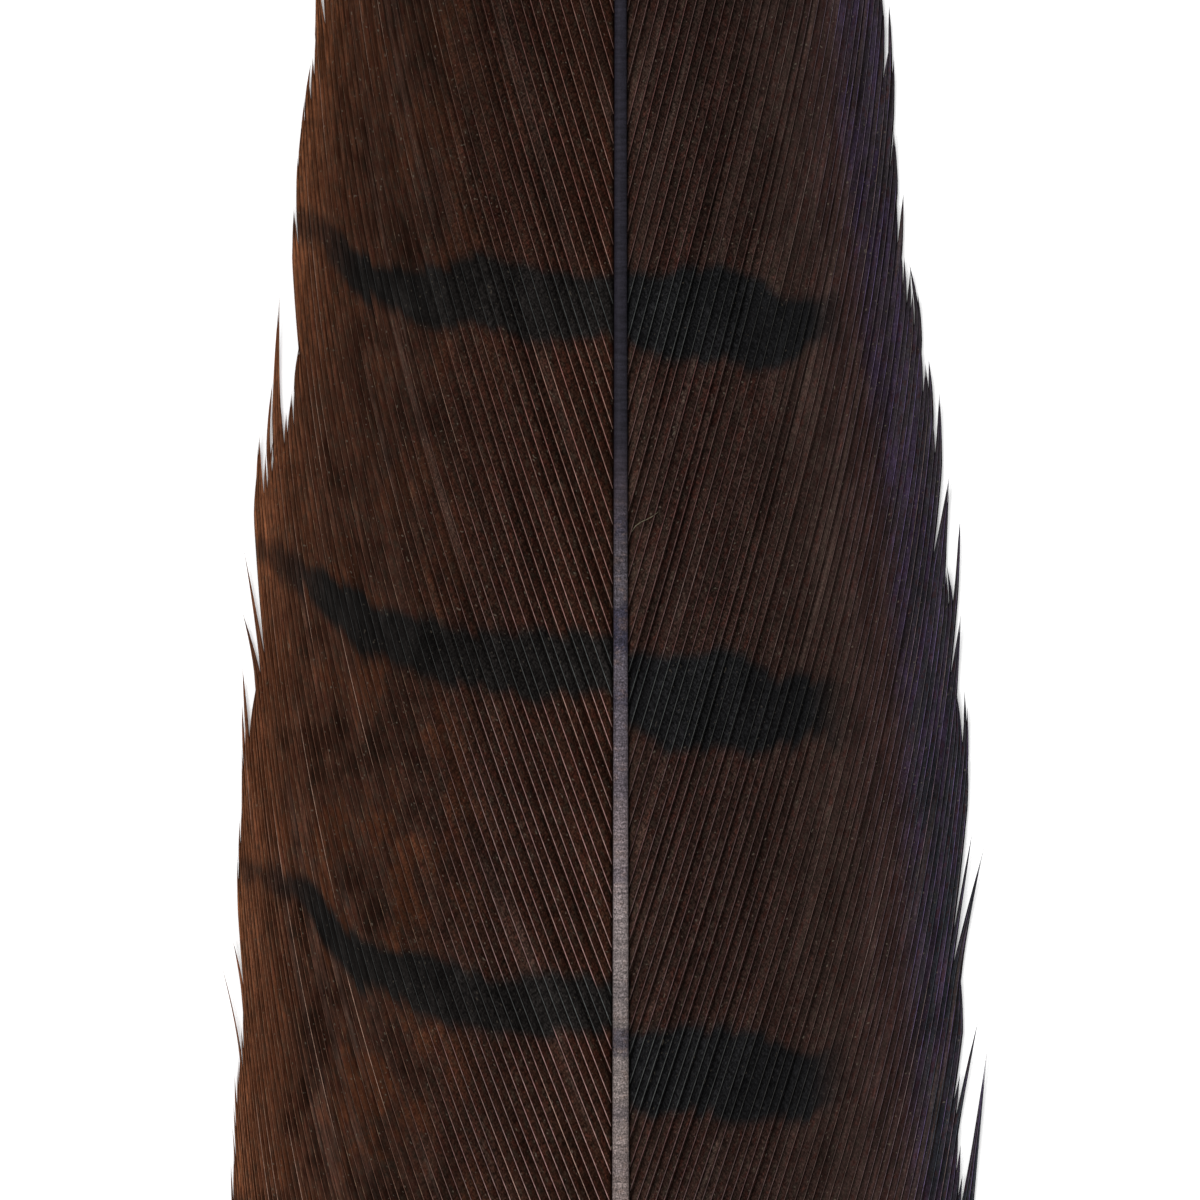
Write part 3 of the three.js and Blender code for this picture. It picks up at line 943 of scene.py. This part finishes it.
DOWN_BARBS = 34  # on each side of the quill
DOWN_FROM, DOWN_TO = 253.6, 262.6
DOWN_SPREAD = 0.2  # how far a downy barb's root strays from its even place
DOWN_LENGTH, DOWN_SHORTENING = 13.5, 5.5  # the longest barb, and how much shorter the lowest ones are
DOWN_LOW, DOWN_HIGH = 0.06, 2.9
DOWN_REACH = 13.6  # no downy barb ends further out than this
BARB_POINTS = 15
BARB_RADIUS, BARB_END_RADIUS = 0.05, 0.008
BARBULE_PAIRS = 110  # on each downy barb
BARBULE_LENGTH = (0.9, 1.7)
BARBULE_RADII = (0.016, 0.012, 0.004)
BARBULE_SHARE = np.array([[0], [0.5], [1]])  # of its length, at its three points
DOWN_COLOURS = ((0, (92, 80, 70)), (0.35, (124, 112, 102)), (1, (150, 140, 130)))
DOWN_CLOUD = (84, 74, 68)
down_rng = np.random.default_rng(23)


def down_barb(side, root):
    """The middle line of a downy barb, as points on the feather. The lowest barbs are the shortest."""
    share = np.linspace(0, 1, BARB_POINTS)
    low_down = (root - DOWN_FROM) / (DOWN_TO - DOWN_FROM)
    length = down_rng.uniform(0.72, 1) * (DOWN_LENGTH - DOWN_SHORTENING * low_down ** 2)
    heading = np.radians(down_rng.normal(58 + 12 * low_down, 8))
    curl = np.radians(down_rng.normal(6, 26))
    wave, swing = down_rng.uniform(0, 2 * np.pi), np.radians(down_rng.uniform(4, 16))
    heading = heading + curl * share ** 2 + swing * np.sin(6 * share + wave)
    step = length / (BARB_POINTS - 1)
    foot = shaft_width(root) / 2 - FOOT_DEPTH
    offset = foot + step * np.cumsum(np.sin(heading)) - step * np.sin(heading[0])
    from_tip = root - step * np.cumsum(np.cos(heading)) + step * np.cos(heading[0])
    low = down_rng.uniform(0.3, 2)
    height = shaft_height(root) + (low - shaft_height(root)) * share ** 0.8
    height = height + 0.35 * np.sin(np.pi * share) * np.sin(5 * share + wave)
    height = np.clip(height, DOWN_LOW + 0.1, DOWN_HIGH - 0.1)
    return to_places(side, np.minimum(offset, DOWN_REACH), from_tip, height)


def down_barbule(line, place, way):
    """The three points of a barbule that leaves a downy barb's line at a place and to one side."""
    at = place * (BARB_POINTS - 1)
    foot = np.array([np.interp(at, np.arange(BARB_POINTS), line[:, axis]) for axis in range(3)])
    ahead = line[min(int(at) + 1, BARB_POINTS - 1)] - line[int(at)]
    ahead /= np.linalg.norm(ahead)
    length = down_rng.uniform(*BARBULE_LENGTH) * (1 - 0.5 * place)
    lean, lift = down_rng.uniform(0.35, 0.9), down_rng.uniform(-0.7, 0.7)
    drift = way * np.cross((0, 0, 1), ahead) * (1 - 0.3 * lean) + ahead * lean + np.array((0, 0, lift))
    curl = ahead * down_rng.uniform(-0.1, 0.6) + np.array((0, 0, down_rng.uniform(-0.4, 0.4)))
    steps = BARBULE_SHARE * length
    points = foot + drift * steps * 0.8 + curl * steps ** 2 * 0.4
    points[:, 2] = np.clip(points[:, 2], DOWN_LOW, DOWN_HIGH)
    return points


def build_down(side):
    soup = Soup()
    cells = math.ceil(math.sqrt(DOWN_BARBS * (1 + 2 * BARBULE_PAIRS)))
    share = np.linspace(0, 1, BARB_POINTS)
    radii = BARB_RADIUS * (1 - share) ** 0.7 + BARB_END_RADIUS
    strayed = down_rng.uniform(-DOWN_SPREAD, DOWN_SPREAD, DOWN_BARBS)
    number = 0
    for root in np.linspace(DOWN_FROM, DOWN_TO, DOWN_BARBS) + strayed:
        line = down_barb(side, root)
        tone = down_rng.random()
        add_strand(soup, line, radii, (number, cells), tone=tone, share=share[:, None], strand=0.0)
        number += 1
        for place in np.linspace(0.03, 0.99, BARBULE_PAIRS):
            for way in (-1, 1):
                points = down_barbule(line, place, way)
                add_strand(soup, points, BARBULE_RADII, (number, cells), tone=tone, share=place,
                           strand=BARBULE_SHARE)
                number += 1
    return soup.build(SIDE_NAME[side] + "_down", down_material(side))


def down_material(side):
    shader = Shader(SIDE_NAME[side] + "_down_keratin", 0.8, 0.05)
    tone, share, strand = shader.values("tone", "share", "strand")
    cloud = shader.place(0.8, 0.8, 0.8).noise()
    nodes = noise(share * 40, tone * 90, strand * 6, 2, 0.6)
    colour = cloud.step(0.35, 0.65, 0, 0.5).mix(share.ramp(*DOWN_COLOURS), DOWN_CLOUD)
    light = tone.step(0, 1, 0.85, 1.15) * strand.step(0, 1, 0.85, 1.2) * nodes.step(0.3, 0.7, 0.8, 1.2)
    return shader.finish(colour.dim(light), nodes, 0.2, 0.01)


# ---- the whole feather

def keep(piece, node):
    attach(piece, "root")
    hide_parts(node)


keep(build_shaft(), "shaft")
for side in (LEFT, RIGHT):
    node = SIDE_NAME[side] + "_vane"
    web, rami = Soup(), Soup()
    for barb in vane(side):
        add_web(web, side, barb)
        add_ramus(rami, side, barb)
    keep(web.build(SIDE_NAME[side] + "_barbules", web_material(side)), node)
    keep(rami.build(SIDE_NAME[side] + "_rami", ramus_material(side)), node)
    keep(build_down(side), SIDE_NAME[side] + "_down")
keep(build_shed_barbule(), "right_vane")


# ---- camera, floor and light

PIXEL = 0.042  # millimetres to a pixel of the 1200 pixel frame
FRAME_PIXELS = 1200
SHAFT_PIXEL_X = 620.6  # where the shaft stands in the frame
FRAME_TOP = 63  # the frame's top edge, from the feather's tip
SENSOR = 36
CAMERA_DISTANCE = 450
FRAME_HEIGHT = 3  # how high above the surface the frame has its exact width
FLOOR_SIZE = 8.0  # in metres
FLOOR_WHITE = (0.92, 0.92, 0.92, 1)
WHITE = (1, 1, 1, 1)
FLOOR_GLOW = 0.25
# Lamps: place and width in metres, and power in watts.
LAMPS = {"key": ((-0.9, 0.5, 1.5), 1.2, 24), "fill": ((1.2, -0.4, 1.3), 1.2, 9)}
SKY_LIGHT = 0.46


def build_camera():
    """A camera straight above the stretch of the feather that the frame shows."""
    width = FRAME_PIXELS * PIXEL
    eye = bpy.data.cameras.new("camera")
    eye.sensor_width = SENSOR
    eye.lens = SENSOR * CAMERA_DISTANCE / width
    eye.clip_start = 0.01
    camera = add_object("camera", eye)
    camera.location = ((SHAFT_X - (SHAFT_PIXEL_X - FRAME_PIXELS / 2) * PIXEL) * MM,
                       (TIP_Y - FRAME_TOP - width / 2) * MM, (CAMERA_DISTANCE + FRAME_HEIGHT) * MM)
    bpy.context.scene.camera = camera


def build_floor():
    mesh = bpy.data.meshes.new("floor")
    half = FLOOR_SIZE / 2
    corners = [(-half, -half, 0), (half, -half, 0), (half, half, 0), (-half, half, 0)]
    mesh.from_pydata(corners, [], [(0, 1, 2, 3)])
    shader = Shader("floor_white", 0.9, 0.1)
    shader.give({"Base Color": FLOOR_WHITE, "Emission Color": WHITE, "Emission Strength": FLOOR_GLOW})
    mesh.materials.append(shader.material)
    add_object("floor", mesh)


def build_lamp(name, place, size, power):
    """A round lamp that points at the feather's middle."""
    lamp = bpy.data.lights.new(name, "AREA")
    lamp.shape = "DISK"
    lamp.size = size
    lamp.energy = power
    light = add_object(name, lamp)
    light.location = place
    aim = -np.array(place) / np.linalg.norm(place)
    light.rotation_euler = (math.acos(-aim[2]), 0, math.atan2(aim[1], aim[0]) - math.pi / 2)


def build_sky():
    """Even white light from all round."""
    world = bpy.data.worlds.new("studio")
    world.use_nodes = True
    sky = world.node_tree
    fill(sky, sky.nodes["Background"], {"Color": WHITE, "Strength": SKY_LIGHT})
    bpy.context.scene.world = world


build_camera()
build_floor()
for name, lamp in LAMPS.items():
    build_lamp(name, *lamp)
build_sky()
bpy.context.scene.view_settings.view_transform = "Standard"
